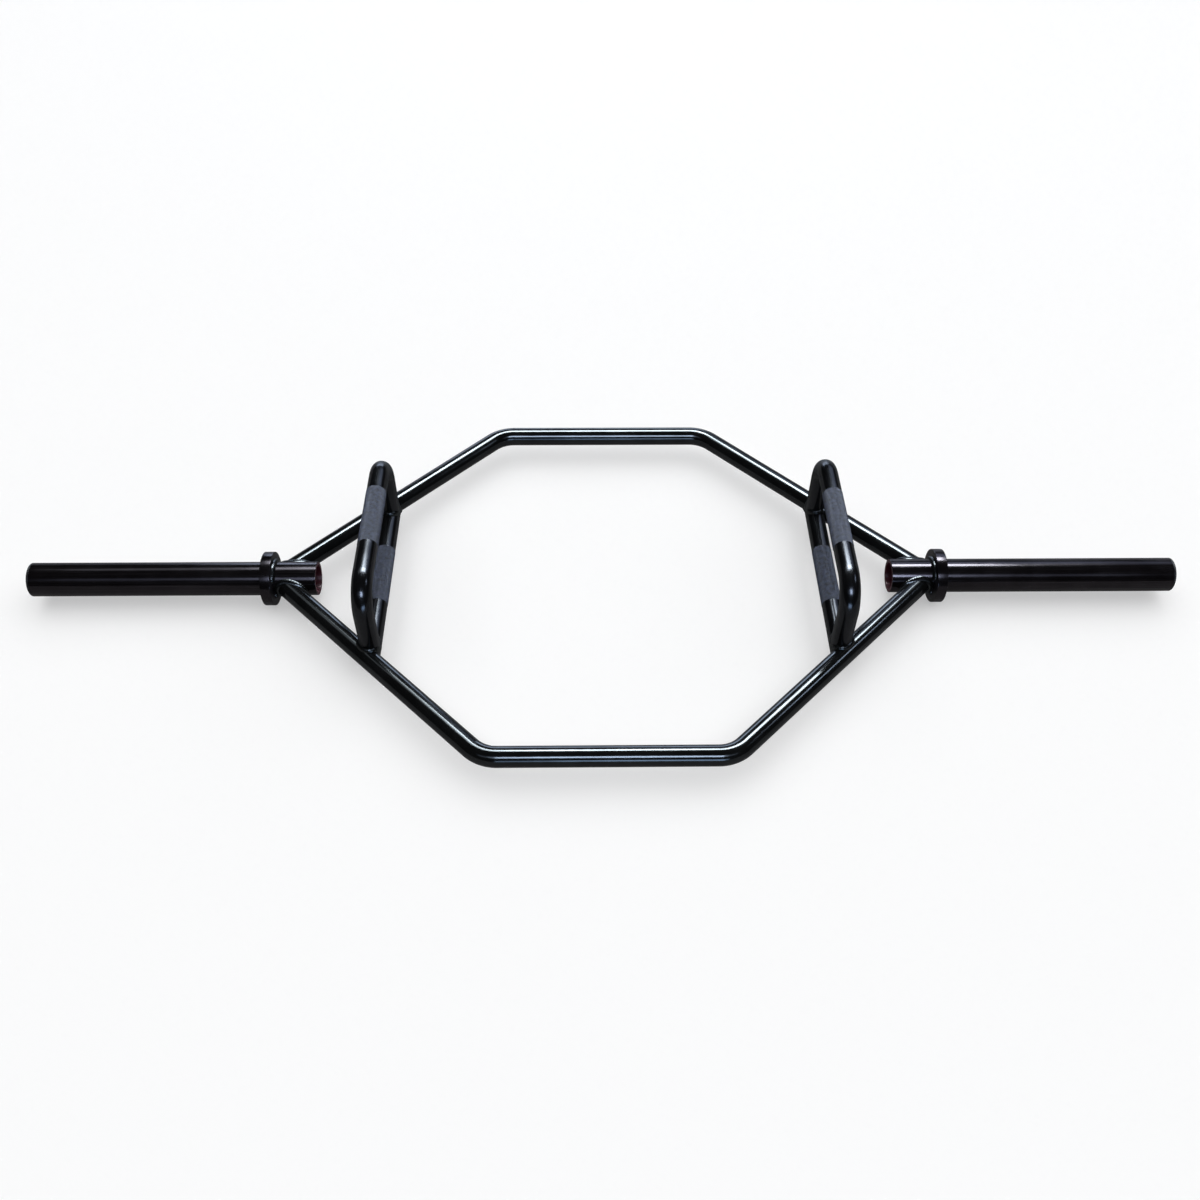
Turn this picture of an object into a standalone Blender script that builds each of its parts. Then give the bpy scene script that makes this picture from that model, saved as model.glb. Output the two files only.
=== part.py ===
"""Hexagonal lifting bar, stood in by the lifter and loaded with discs on both sleeves.

Two bent side tubes are coped and welded to a sleeve tube at each end. A low handle lies in the
frame plane and a raised handle stands over it on both sides, so the bar can be turned over.
Metres, +Z up, +X along the sleeves, -Y towards the front. The origin is under the middle of the
bar, level with the lowest point of the collars that it rests on."""

import math

import bmesh
import bpy
from mathutils import Vector

# Frame
TUBE_DIAMETER = 0.029
TUBE_WALL = 0.004
RAIL_LENGTH = 0.335  # between the bend corners of one rail, on its centre line
FRAME_WIDTH = 0.644  # front rail to rear rail, centre lines
FRAME_LENGTH = 0.980  # between the points where the slanted runs meet the sleeve axis
FRAME_BEND_RADIUS = 0.051  # centre line

# Sleeves
SLEEVE_DIAMETER = 0.050
SLEEVE_WALL = 0.005
SLEEVE_LOAD_LENGTH = 0.346  # from the collar's outer face to the end of the bar
SLEEVE_OVERHANG = 0.017  # open inner end, past the inner edge of the side tubes
SLEEVE_EDGE = 0.0006

# Collars
COLLAR_DIAMETER = 0.080
COLLAR_THICKNESS = 0.015
COLLAR_SETBACK = 0.0055  # from the outer edge of the side tubes to the collar
COLLAR_EDGE = 0.0008

# End caps
CAP_FLANGE = 0.003
CAP_EDGE = 0.0012
CAP_PLUG_LENGTH = 0.020
CAP_WALL = 0.0025

# Handles
HANDLE_SPACING = 0.667  # left handles to right handles, centre lines
RAISED_HEIGHT = 0.114  # raised grip above the frame plane, centre lines
LEG_INSET = 0.019  # raised leg, inwards from where the low handle meets the side tube's axis
HANDLE_BEND_RADIUS = 0.040  # centre line

# Welds
WELD_LEG = 0.004
WELD_CROWN = 0.001  # how far a bead stands out past the straight line between its toes
SEAM_ROUNDING = 0.0004  # how far a root stays off a tube as wide as its own, where the seam turns

SEAT_GAP = 0.0003  # between pieces that touch

# Facets
TUBE_SIDES = 20
BEND_STEPS = 6
SLEEVE_SIDES = 36
COLLAR_SIDES = 44
WELD_STATIONS = 28
CROWN_STEPS = 3
ANGLE_STEP = math.radians(1)

TUBE_RADIUS = TUBE_DIAMETER / 2
SLEEVE_RADIUS = SLEEVE_DIAMETER / 2
COLLAR_RADIUS = COLLAR_DIAMETER / 2
AXIS_HEIGHT = COLLAR_RADIUS  # sleeve axis and frame plane, above the floor that the collars touch
HANDLE_X = HANDLE_SPACING / 2
UP = Vector((0, 0, 1))

SLANT = Vector((RAIL_LENGTH / 2 - FRAME_LENGTH / 2, FRAME_WIDTH / 2, 0)).normalized()
HANDLE_END_Y = (FRAME_LENGTH / 2 - HANDLE_X) * -SLANT.y / SLANT.x
LEG_Y = HANDLE_END_Y - LEG_INSET
GRIP_Z = AXIS_HEIGHT + RAISED_HEIGHT

# Where the edges of a slanted run reach the side of the sleeve, along X
JOINT_MIDDLE_X = FRAME_LENGTH / 2 + SLEEVE_RADIUS * SLANT.x / SLANT.y
JOINT_HALF_LENGTH = TUBE_RADIUS / SLANT.y
COLLAR_X = JOINT_MIDDLE_X + JOINT_HALF_LENGTH + COLLAR_SETBACK
SLEEVE_START_X = JOINT_MIDDLE_X - JOINT_HALF_LENGTH - SLEEVE_OVERHANG
BAR_END_X = COLLAR_X + COLLAR_THICKNESS + SLEEVE_LOAD_LENGTH
SLEEVE_END_X = BAR_END_X - CAP_FLANGE - SEAT_GAP

SIDES = (("left", -1), ("right", 1))
ENDS = (("front", -1), ("rear", 1))


def clear_scene():
    for obj in list(bpy.data.objects):
        bpy.data.objects.remove(obj, do_unlink=True)


def finish_material(name, colour, roughness, metallic):
    material = bpy.data.materials.new(name)
    material.use_nodes = True
    shader = material.node_tree.nodes["Principled BSDF"]
    shader.inputs["Base Color"].default_value = (*colour, 1)
    shader.inputs["Roughness"].default_value = roughness
    shader.inputs["Metallic"].default_value = metallic
    return material


def add_object(name, bm, material, smooth_angle=math.radians(35)):
    bmesh.ops.recalc_face_normals(bm, faces=bm.faces)
    mesh = bpy.data.meshes.new(name)
    bm.to_mesh(mesh)
    bm.free()
    mesh.shade_smooth()
    mesh.set_sharp_from_angle(angle=smooth_angle)
    obj = bpy.data.objects.new(name, mesh)
    bpy.context.scene.collection.objects.link(obj)
    if material:
        mesh.materials.append(material)
    return obj


def as_cutter(obj):
    obj.hide_render = True
    obj.display_type = "WIRE"
    return obj


def cut(obj, cutters):
    """Takes each cutter away, then lets the large faces set the shading beside the cuts."""
    for cutter in cutters:
        modifier = obj.modifiers.new("cut by " + cutter.name, "BOOLEAN")
        modifier.operation = "DIFFERENCE"
        modifier.solver = "EXACT"
        modifier.object = cutter
    shading = obj.modifiers.new("shading by face size", "WEIGHTED_NORMAL")
    shading.keep_sharp = True


def bridge_rings(bm, rings, closed):
    """Quads between one ring of vertices and the next, and from the last to the first if closed."""
    pairs = zip(rings, rings[1:] + rings[:1]) if closed else zip(rings, rings[1:])
    for first, second in pairs:
        count = len(first)
        for i in range(count):
            j = (i + 1) % count
            bm.faces.new((first[i], first[j], second[j], second[i]))


def ring_of(bm, centre, across, upward, radius, sides):
    ring = []
    for i in range(sides):
        angle = math.tau * i / sides
        ring.append(bm.verts.new(centre + radius * (math.cos(angle) * across + math.sin(angle) * upward)))
    return ring


def bent_path(corners, bend_radius):
    """(point, direction) along a planar line through the corners, each rounded to the bend radius."""
    stations = [(corners[0], (corners[1] - corners[0]).normalized())]
    for before, corner, after in zip(corners, corners[1:], corners[2:]):
        inward = (corner - before).normalized()
        outward = (after - corner).normalized()
        turn = inward.angle(outward)
        axis = inward.cross(outward).normalized()
        start = corner - inward * bend_radius * math.tan(turn / 2)
        centre = start + axis.cross(inward) * bend_radius
        for step in range(BEND_STEPS + 1):
            angle = turn * step / BEND_STEPS
            direction = inward * math.cos(angle) + axis.cross(inward) * math.sin(angle)
            stations.append((centre - axis.cross(direction) * bend_radius, direction))
    stations.append((corners[-1], (corners[-1] - corners[-2]).normalized()))
    return stations


def hollow_tube(name, stations, plane_normal, material):
    """Round tube with an open bore along a path that lies in the plane with this normal."""
    bm = bmesh.new()
    skins = []
    for radius in (TUBE_RADIUS, TUBE_RADIUS - TUBE_WALL):
        rings = [
            ring_of(bm, point, direction.cross(plane_normal), plane_normal, radius, TUBE_SIDES)
            for point, direction in stations
        ]
        bridge_rings(bm, rings, closed=False)
        skins.append(rings)
    outer, inner = skins
    bridge_rings(bm, [outer[0], inner[0]], closed=False)
    bridge_rings(bm, [outer[-1], inner[-1]], closed=False)
    return add_object(name, bm, material)


def rod(name, start, end, radius, sides):
    """Closed straight cylinder, for a cutter."""
    bm = bmesh.new()
    direction = (end - start).normalized()
    across = direction.orthogonal().normalized()
    upward = direction.cross(across)
    rings = [ring_of(bm, point, across, upward, radius, sides) for point in (start, end)]
    bridge_rings(bm, rings, closed=False)
    for ring in rings:
        bm.faces.new(ring)
    return as_cutter(add_object(name, bm, None))


def turned(name, profile, sides, material):
    """Solid of a closed (x, radius) profile turned about the sleeve axis; radius 0 is on the axis."""
    bm = bmesh.new()
    rings = []
    for x, radius in profile:
        centre = Vector((x, 0, AXIS_HEIGHT))
        if radius:
            rings.append(ring_of(bm, centre, Vector((0, 1, 0)), UP, radius, sides))
        else:
            rings.append([bm.verts.new(centre)])
    for first, second in zip(rings, rings[1:] + rings[:1]):
        if len(first) == len(second) == 1:
            continue
        for i in range(sides):
            j = (i + 1) % sides
            if len(first) == 1:
                bm.faces.new((first[0], second[j], second[i]))
            elif len(second) == 1:
                bm.faces.new((first[i], first[j], second[0]))
            else:
                bm.faces.new((first[i], first[j], second[j], second[i]))
    return add_object(name, bm, material)


def across_axis(point, axis_point, axis_direction):
    """The shortest vector from the axis to the point."""
    offset = point - axis_point
    return offset - axis_direction * offset.dot(axis_direction)


def onto_tubes(point, tubes):
    """The point moved onto the nearest tube's seat, and out of a second tube that it lands in."""
    for _ in range(3):
        offsets = [(across_axis(point, *axis), radius + SEAT_GAP) for axis, radius in tubes]
        offset, seat_radius = min(offsets, key=lambda pair: pair[0].length - pair[1])
        point = point + offset.normalized() * (seat_radius - offset.length)
    return point


def weld_bead(name, seam, closed, branch_tube, main_tubes, material):
    """Crowned fillet along (root, branch normal, main normal) stations, a leg wide on each surface.

    A tube is ((axis point, axis direction), radius), and the branch's direction leads away from the
    joint. A flat main surface has no tubes."""
    branch_direction = branch_tube[0][1]
    bm = bmesh.new()
    count = len(seam)
    rings = []
    for i, (root, branch_normal, main_normal) in enumerate(seam):
        after = seam[(i + 1) % count][0] if closed or i + 1 < count else root
        before = seam[i - 1][0] if closed or i else root
        along = (after - before).normalized()
        if along.cross(branch_normal).dot(branch_direction) < 0:
            along = -along
        up_branch = along.cross(branch_normal).normalized()
        over_main = -along.cross(main_normal).normalized()
        branch_toe = onto_tubes(root + up_branch * WELD_LEG, [branch_tube])
        main_toe = root + over_main * WELD_LEG
        if main_tubes:
            main_toe = onto_tubes(main_toe, main_tubes)
        outward = (branch_normal + main_normal).normalized()
        section = [root, branch_toe]
        for step in range(1, CROWN_STEPS):
            share = step / CROWN_STEPS
            rise = WELD_CROWN * 4 * share * (1 - share)
            section.append(branch_toe.lerp(main_toe, share) + outward * rise)
        section.append(main_toe)
        rings.append([bm.verts.new(point) for point in section])
    bridge_rings(bm, rings, closed)
    if not closed:
        bm.faces.new(rings[0])
        bm.faces.new(rings[-1])
    return add_object(name, bm, material, smooth_angle=math.radians(50))


def seam_between(meeting, branch, main, main_radius, angles):
    """Seam of a tube that leaves the meeting point along branch, on a tube along main, both level."""
    side = branch.cross(UP).normalized()
    main_side = UP.cross(main).normalized()
    if main_side.dot(branch) < 0:
        main_side = -main_side
    branch_radius = TUBE_RADIUS + SEAT_GAP
    seat_radius = max(main_radius + SEAT_GAP, branch_radius + SEAM_ROUNDING)
    seam = []
    for angle in angles:
        across = branch_radius * math.cos(angle)
        height = branch_radius * math.sin(angle)
        reach = math.sqrt(seat_radius**2 - height**2)
        along = (reach - across * side.dot(main_side)) / branch.dot(main_side)
        root = meeting + branch * along + side * across + UP * height
        branch_normal = side * math.cos(angle) + UP * math.sin(angle)
        main_normal = (main_side * reach + UP * height).normalized()
        seam.append((root, branch_normal, main_normal))
    return seam


def leg_seam(foot, seats, angles):
    """Seam of an upright leg on the low handle and the side tube, whichever stands higher."""
    seam = []
    for angle in angles:
        outward = Vector((math.cos(angle), math.sin(angle), 0))
        point = foot + outward * (TUBE_RADIUS + SEAT_GAP)
        nearest = min((across_axis(point, *axis) for axis, _ in seats), key=lambda gap: gap.length)
        seat_radius = TUBE_RADIUS + SEAT_GAP + SEAM_ROUNDING
        height = math.sqrt(max(0.0, seat_radius**2 - nearest.length_squared))
        seam.append((point + UP * height, outward, (nearest + UP * height).normalized()))
    return seam


def full_turn(count=WELD_STATIONS):
    return [math.tau * i / count for i in range(count)]


def part_turn(start, end, count):
    return [start + (end - start) * i / (count - 1) for i in range(count)]


def frame_corner(x_side, y_side):
    """Where the slanted run meets the sleeve axis, its direction outwards and the rail's corner."""
    meeting = Vector((x_side * FRAME_LENGTH / 2, 0, AXIS_HEIGHT))
    direction = Vector((x_side * SLANT.x, y_side * SLANT.y, 0))
    corner = Vector((x_side * RAIL_LENGTH / 2, y_side * FRAME_WIDTH / 2, AXIS_HEIGHT))
    return meeting, direction, corner


def make_sleeve(side_name, x_side, material):
    edge = SLEEVE_EDGE
    bore = SLEEVE_RADIUS - SLEEVE_WALL
    profile = [
        (SLEEVE_START_X, bore),
        (SLEEVE_START_X, SLEEVE_RADIUS - edge),
        (SLEEVE_START_X + edge, SLEEVE_RADIUS),
        (SLEEVE_END_X - edge, SLEEVE_RADIUS),
        (SLEEVE_END_X, SLEEVE_RADIUS - edge),
        (SLEEVE_END_X, bore),
    ]
    return turned(side_name + "_sleeve", mirrored(profile, x_side), SLEEVE_SIDES, material)


def make_collar(side_name, x_side, material):
    edge = COLLAR_EDGE
    bore = SLEEVE_RADIUS + SEAT_GAP
    outer_x = COLLAR_X + COLLAR_THICKNESS
    profile = [
        (COLLAR_X, bore),
        (COLLAR_X, COLLAR_RADIUS - edge),
        (COLLAR_X + edge, COLLAR_RADIUS),
        (outer_x - edge, COLLAR_RADIUS),
        (outer_x, COLLAR_RADIUS - edge),
        (outer_x, bore),
    ]
    return turned(side_name + "_collar", mirrored(profile, x_side), COLLAR_SIDES, material)


def make_end_cap(side_name, x_side, material):
    """Push-in cap: a flange as wide as the sleeve and a hollow plug in its bore."""
    plug_radius = SLEEVE_RADIUS - SLEEVE_WALL - SEAT_GAP
    flange_x = BAR_END_X - CAP_FLANGE
    plug_x = flange_x - CAP_PLUG_LENGTH
    profile = [
        (BAR_END_X, 0),
        (BAR_END_X, SLEEVE_RADIUS - CAP_EDGE),
        (BAR_END_X - CAP_EDGE, SLEEVE_RADIUS),
        (flange_x, SLEEVE_RADIUS),
        (flange_x, plug_radius),
        (plug_x + CAP_EDGE, plug_radius),
        (plug_x, plug_radius - CAP_EDGE),
        (plug_x, plug_radius - CAP_WALL),
        (flange_x, plug_radius - CAP_WALL),
        (flange_x, 0),
    ]
    return turned(side_name + "_end_cap", mirrored(profile, x_side), SLEEVE_SIDES, material)


def mirrored(profile, x_side):
    return [(x_side * x, radius) for x, radius in profile]


def handle_end(x_side, y_side):
    """Where the low handle meets the side tube's axis."""
    return Vector((x_side * HANDLE_X, y_side * HANDLE_END_Y, AXIS_HEIGHT))


def leg_foot(x_side, y_side):
    return Vector((x_side * HANDLE_X, y_side * LEG_Y, AXIS_HEIGHT))


def make_sleeve_seat():
    """One cutter on the sleeves' axis, for the ends of both side tubes."""
    start = Vector((-SLEEVE_END_X, 0, AXIS_HEIGHT))
    end = Vector((SLEEVE_END_X, 0, AXIS_HEIGHT))
    return rod("sleeve_seat", start, end, SLEEVE_RADIUS + SEAT_GAP, SLEEVE_SIDES)


def make_run_seat(side_name, x_side, end_name, y_side):
    meeting, _, corner = frame_corner(x_side, y_side)
    name = f"{end_name}_{side_name}_run_seat"
    return rod(name, meeting, corner, TUBE_RADIUS + SEAT_GAP, TUBE_SIDES)


def make_handle_seat(side_name, x_side):
    name = side_name + "_low_handle_seat"
    return rod(name, handle_end(x_side, -1), handle_end(x_side, 1), TUBE_RADIUS + SEAT_GAP, TUBE_SIDES)


def make_side_tube(name, y_side, sleeve_seat, material):
    left_meeting, _, left_corner = frame_corner(-1, y_side)
    right_meeting, _, right_corner = frame_corner(1, y_side)
    corners = [left_meeting, left_corner, right_corner, right_meeting]
    tube = hollow_tube(name, bent_path(corners, FRAME_BEND_RADIUS), UP, material)
    cut(tube, [sleeve_seat])


def make_low_handle(side_name, x_side, run_seats, material):
    ends = [handle_end(x_side, y_side) for _, y_side in ENDS]
    handle = hollow_tube(side_name + "_low_handle", bent_path(ends, 0), UP, material)
    cut(handle, run_seats)


def make_raised_handle(side_name, x_side, seats, material):
    front_foot, rear_foot = (leg_foot(x_side, y_side) for _, y_side in ENDS)
    rise = UP * RAISED_HEIGHT
    corners = [front_foot, front_foot + rise, rear_foot + rise, rear_foot]
    path = bent_path(corners, HANDLE_BEND_RADIUS)
    handle = hollow_tube(side_name + "_raised_handle", path, Vector((1, 0, 0)), material)
    cut(handle, seats)


def collar_seam(x_side, angles):
    face_x = x_side * (COLLAR_X - SEAT_GAP)
    seam = []
    for angle in angles:
        outward = Vector((0, math.cos(angle), math.sin(angle)))
        point = Vector((face_x, 0, AXIS_HEIGHT)) + outward * (SLEEVE_RADIUS + SEAT_GAP)
        seam.append((point, outward, Vector((-x_side, 0, 0))))
    return seam


def collar_weld_start():
    """Angle above the horizontal from which a collar bead clears the side tubes' own beads."""
    bead_radius = TUBE_RADIUS + SEAT_GAP + WELD_LEG
    sleeve_seat = SLEEVE_RADIUS + SEAT_GAP
    free_x = COLLAR_X - WELD_LEG - 2 * SEAT_GAP
    angle = 0.0
    while angle < math.pi / 2:
        height = sleeve_seat * math.sin(angle)
        reach = sleeve_seat * math.cos(angle)
        across = math.sqrt(max(0.0, bead_radius**2 - height**2))
        bead_x = FRAME_LENGTH / 2 + (reach * SLANT.x + across) / SLANT.y
        if bead_x < free_x or height > bead_radius:
            break
        angle += ANGLE_STEP
    return angle


def sleeve_tube(x_side):
    """The sleeve as a branch that leaves its collar towards the middle of the bar."""
    return (Vector((0, 0, AXIS_HEIGHT)), Vector((-x_side, 0, 0))), SLEEVE_RADIUS


def make_collar_welds(side_name, x_side, material):
    reach = math.pi / 2 - collar_weld_start()
    for arc_name, middle in (("upper", math.pi / 2), ("lower", -math.pi / 2)):
        angles = part_turn(middle - reach, middle + reach, WELD_STATIONS // 2)
        name = f"{side_name}_collar_{arc_name}_weld"
        weld_bead(name, collar_seam(x_side, angles), False, sleeve_tube(x_side), [], material)


def make_joint_welds(side_name, x_side, end_name, y_side, material):
    """Beads of one slanted run: on the sleeve, under the low handle and round the raised leg."""
    prefix = f"{end_name}_{side_name}_"
    meeting, direction, _ = frame_corner(x_side, y_side)
    side_tube = ((meeting, direction), TUBE_RADIUS)
    low_end = handle_end(x_side, y_side)
    inwards = Vector((0, -y_side, 0))
    low_tube = ((low_end, inwards), TUBE_RADIUS)
    foot = leg_foot(x_side, y_side)

    sleeve_seam = seam_between(meeting, direction, Vector((1, 0, 0)), SLEEVE_RADIUS, full_turn())
    weld_bead(prefix + "sleeve_weld", sleeve_seam, True, side_tube, [sleeve_tube(x_side)], material)

    # The leg's bead reaches one weld leg down both flanks of the tubes
    flank = (WELD_LEG + 2 * SEAT_GAP) / TUBE_RADIUS
    underside = part_turn(math.pi + flank, math.tau - flank, WELD_STATIONS // 2)
    low_seam = seam_between(low_end, inwards, direction, TUBE_RADIUS, underside)
    weld_bead(prefix + "low_handle_weld", low_seam, False, low_tube, [side_tube], material)

    tubes = [low_tube, side_tube]
    foot_seam = leg_seam(foot, tubes, full_turn())
    weld_bead(prefix + "leg_weld", foot_seam, True, ((foot, UP), TUBE_RADIUS), tubes, material)


def make_bar():
    paint = finish_material("gloss_black_paint", (0.012, 0.012, 0.015), 0.22, 0.0)
    sleeve_paint = finish_material("satin_black_sleeve", (0.017, 0.016, 0.019), 0.38, 0.0)
    grip_paint = finish_material("black_handle_tube", (0.02, 0.02, 0.026), 0.45, 0.2)
    weld_paint = finish_material("painted_weld", (0.014, 0.014, 0.017), 0.3, 0.0)
    plastic = finish_material("black_plastic", (0.02, 0.02, 0.022), 0.5, 0.0)

    sleeve_seat = make_sleeve_seat()
    for end_name, y_side in ENDS:
        make_side_tube(end_name + "_side_tube", y_side, sleeve_seat, paint)

    for side_name, x_side in SIDES:
        make_sleeve(side_name, x_side, sleeve_paint)
        make_collar(side_name, x_side, paint)
        make_end_cap(side_name, x_side, plastic)
        run_seats = [make_run_seat(side_name, x_side, end_name, y_side) for end_name, y_side in ENDS]
        make_low_handle(side_name, x_side, run_seats, grip_paint)
        handle_seat = make_handle_seat(side_name, x_side)
        make_raised_handle(side_name, x_side, [handle_seat, *run_seats], grip_paint)
        make_collar_welds(side_name, x_side, weld_paint)
        for end_name, y_side in ENDS:
            make_joint_welds(side_name, x_side, end_name, y_side, weld_paint)


clear_scene()
make_bar()
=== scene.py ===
"""Looks of a hexagonal lifting bar: painted tubes, knurled grips, weld beads, caps and studio.

Laid out as an add-on and run as a script. Everything is in metres in the packed model's frame:
+X along the sleeves, -Y to the front, +Z up, and the floor is level with the collars' lowest point."""

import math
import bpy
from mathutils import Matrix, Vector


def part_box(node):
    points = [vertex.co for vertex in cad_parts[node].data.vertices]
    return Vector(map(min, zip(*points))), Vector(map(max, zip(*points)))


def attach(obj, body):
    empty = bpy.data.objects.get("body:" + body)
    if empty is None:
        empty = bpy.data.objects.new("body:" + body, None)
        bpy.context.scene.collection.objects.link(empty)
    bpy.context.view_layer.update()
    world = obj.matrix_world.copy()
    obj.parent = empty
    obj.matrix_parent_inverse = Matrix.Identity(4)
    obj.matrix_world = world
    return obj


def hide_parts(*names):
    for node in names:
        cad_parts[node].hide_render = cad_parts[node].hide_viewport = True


bl_info = {
    "name": "Hexagonal lifting bar",
    "version": (1, 0, 0),
    "blender": (4, 5, 0),
    "location": "3D View > Sidebar > Lifting bar",
    "description": "Dresses the solids of a hexagonal lifting bar with paint, knurling and weld beads",
    "category": "Object",
}

import bmesh
import bpy
from bpy.props import FloatProperty, FloatVectorProperty, IntProperty, PointerProperty
from mathutils import Matrix, Vector

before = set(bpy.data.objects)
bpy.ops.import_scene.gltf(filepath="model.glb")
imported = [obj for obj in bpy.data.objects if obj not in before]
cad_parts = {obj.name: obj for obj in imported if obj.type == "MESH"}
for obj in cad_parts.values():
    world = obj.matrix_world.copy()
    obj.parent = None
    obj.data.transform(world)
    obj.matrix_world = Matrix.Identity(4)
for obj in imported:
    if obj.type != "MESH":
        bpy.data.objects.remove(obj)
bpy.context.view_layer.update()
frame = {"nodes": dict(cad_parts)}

SIDES = (("left", -1), ("right", 1))
ENDS = (("front", -1), ("rear", 1))
UP = Vector((0, 0, 1))


def middle(box, axis):
    return (box[0][axis] + box[1][axis]) / 2


def width(box, axis):
    return box[1][axis] - box[0][axis]


# Places read from the solids of the right half, which the left half mirrors
SLEEVE_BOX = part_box("right_sleeve")
COLLAR_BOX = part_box("right_collar")
CAP_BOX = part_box("right_end_cap")
LOW_HANDLE_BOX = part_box("right_low_handle")
RAISED_HANDLE_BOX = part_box("right_raised_handle")
TUBE_RADIUS = width(LOW_HANDLE_BOX, 0) / 2
SLEEVE_RADIUS = width(SLEEVE_BOX, 2) / 2
AXIS_HEIGHT = middle(SLEEVE_BOX, 2)
HANDLE_X = middle(LOW_HANDLE_BOX, 0)
LEG_Y = RAISED_HANDLE_BOX[1].y - TUBE_RADIUS
GRIP_HEIGHT = RAISED_HANDLE_BOX[1].z - TUBE_RADIUS
RAIL_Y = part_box("rear_side_tube")[1].y - TUBE_RADIUS


def a_number(name, description, default, **more):
    return FloatProperty(name=name, description=description, default=default, **more)


def a_length(name, description, default):
    return a_number(name, description, default, unit="LENGTH")


def an_angle(name, description, degrees):
    return a_number(name, description, math.radians(degrees), subtype="ANGLE")


def a_colour(name, description, default):
    return FloatVectorProperty(name=name, description=description, default=default, subtype="COLOR")


def a_count(name, description, default):
    return IntProperty(name=name, description=description, default=default)


class TubeSizes(bpy.types.PropertyGroup):
    """Sizes of the bent tubes and turned pieces that no box of the frame gives."""

    rail_length: a_length("Rail length", "Between the corners of a rail", 0.335)
    frame_length: a_length("Frame length", "Between the hexagon's two points", 0.980)
    frame_bend: a_length("Frame bend", "Centre-line radius of the rails' bends", 0.051)
    handle_bend: a_length("Handle bend", "Centre-line radius over the legs", 0.040)
    tube_wall: a_length("Tube wall", "Wall of frame and handles", 0.004)
    sleeve_wall: a_length("Sleeve wall", "Wall of the sleeves", 0.005)
    edge_radius: a_length("Edge radius", "Rounding of turned edges", 0.0008)
    cap_flange: a_length("Cap flange", "Thickness of the end caps' flange", 0.003)
    cap_plug: a_length("Cap plug", "How far a cap reaches into its sleeve", 0.020)
    seat_gap: a_length("Seat gap", "Between a coped end and its seat", 0.0002)
    cope_reach: a_length("Cope reach", "How far back a coped end looks for its seat", 0.06)
    bend_steps: a_count("Bend steps", "Rings in each bend", 20)
    tube_sides: a_count("Tube sides", "Facets round a tube", 64)
    turned_sides: a_count("Turned sides", "Facets round a sleeve", 112)
    edge_steps: a_count("Edge steps", "Facets across a rounded edge", 5)
    crease: an_angle("Crease", "Edges that turn further stay sharp", 40)


class GripSizes(bpy.types.PropertyGroup):
    """The knurled bands on the four handles."""

    length: a_length("Grip length", "Knurled length of each handle", 0.110)
    diamond_width: a_length("Diamond width", "Knurl pitch round the tube", 0.00152)
    diamond_angle: an_angle("Diamond angle", "Between the knurl's grooves and the tube", 33)
    height: a_length("Knurl height", "How far the diamonds stand out", 0.00042)
    flat_share: a_number("Flat share", "Width of a diamond's worn top over its foot", 0.34)
    wear: a_number("Wear", "How unevenly the diamonds are pressed", 0.3)
    seed: a_count("Seed", "Changes which diamonds are low", 5)
    left_raised_shift: a_length("Left raised shift", "Band's middle towards the rear", 0.010)
    left_low_shift: a_length("Left low shift", "Band's middle towards the rear", 0.001)
    right_raised_shift: a_length("Right raised shift", "Band's middle towards the rear", 0.002)
    right_low_shift: a_length("Right low shift", "Band's middle towards the rear", -0.004)


class WeldSizes(bpy.types.PropertyGroup):
    """The crowned fillets and the ripples that run along them."""

    leg: a_length("Leg", "Width on each tube", 0.0045)
    crown: a_length("Crown", "Rise over a flat fillet", 0.001)
    ripple_pitch: a_length("Ripple pitch", "From one ripple to the next", 0.0026)
    ripple_height: a_length("Ripple height", "From groove to crest", 0.0003)
    ripple_bow: a_number("Ripple bow", "How far a crest trails at the toes, in ripples", 0.9)
    unevenness: a_length("Unevenness", "Random rise and fall", 0.0005)
    lump_density: a_number("Lump density", "Uneven lumps in a metre", 260.0)
    seam_rounding: a_length("Seam rounding", "Root's clearance where a seam turns", 0.0004)
    collar_coarseness: a_number("Collar coarseness", "How much rougher the collar beads are", 2.2)
    stop_length: a_length("Stop length", "Over which an open bead tapers", 0.006)
    stop_size: a_number("Stop size", "Share of the bead that is left at its very end", 0.08)
    collar_overrun: an_angle("Collar overrun", "How far a collar bead runs on towards the side tube", 7)
    stations: a_count("Stations", "Sections along a full seam", 260)
    fewest_stations: a_count("Fewest stations", "Sections along the shortest seam", 24)
    crown_steps: a_count("Crown steps", "Facets across a bead", 8)
    crease: an_angle("Crease", "Edges that turn further stay sharp", 60)
    seed: a_count("Seed", "Changes the beads' unevenness", 3)


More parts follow.
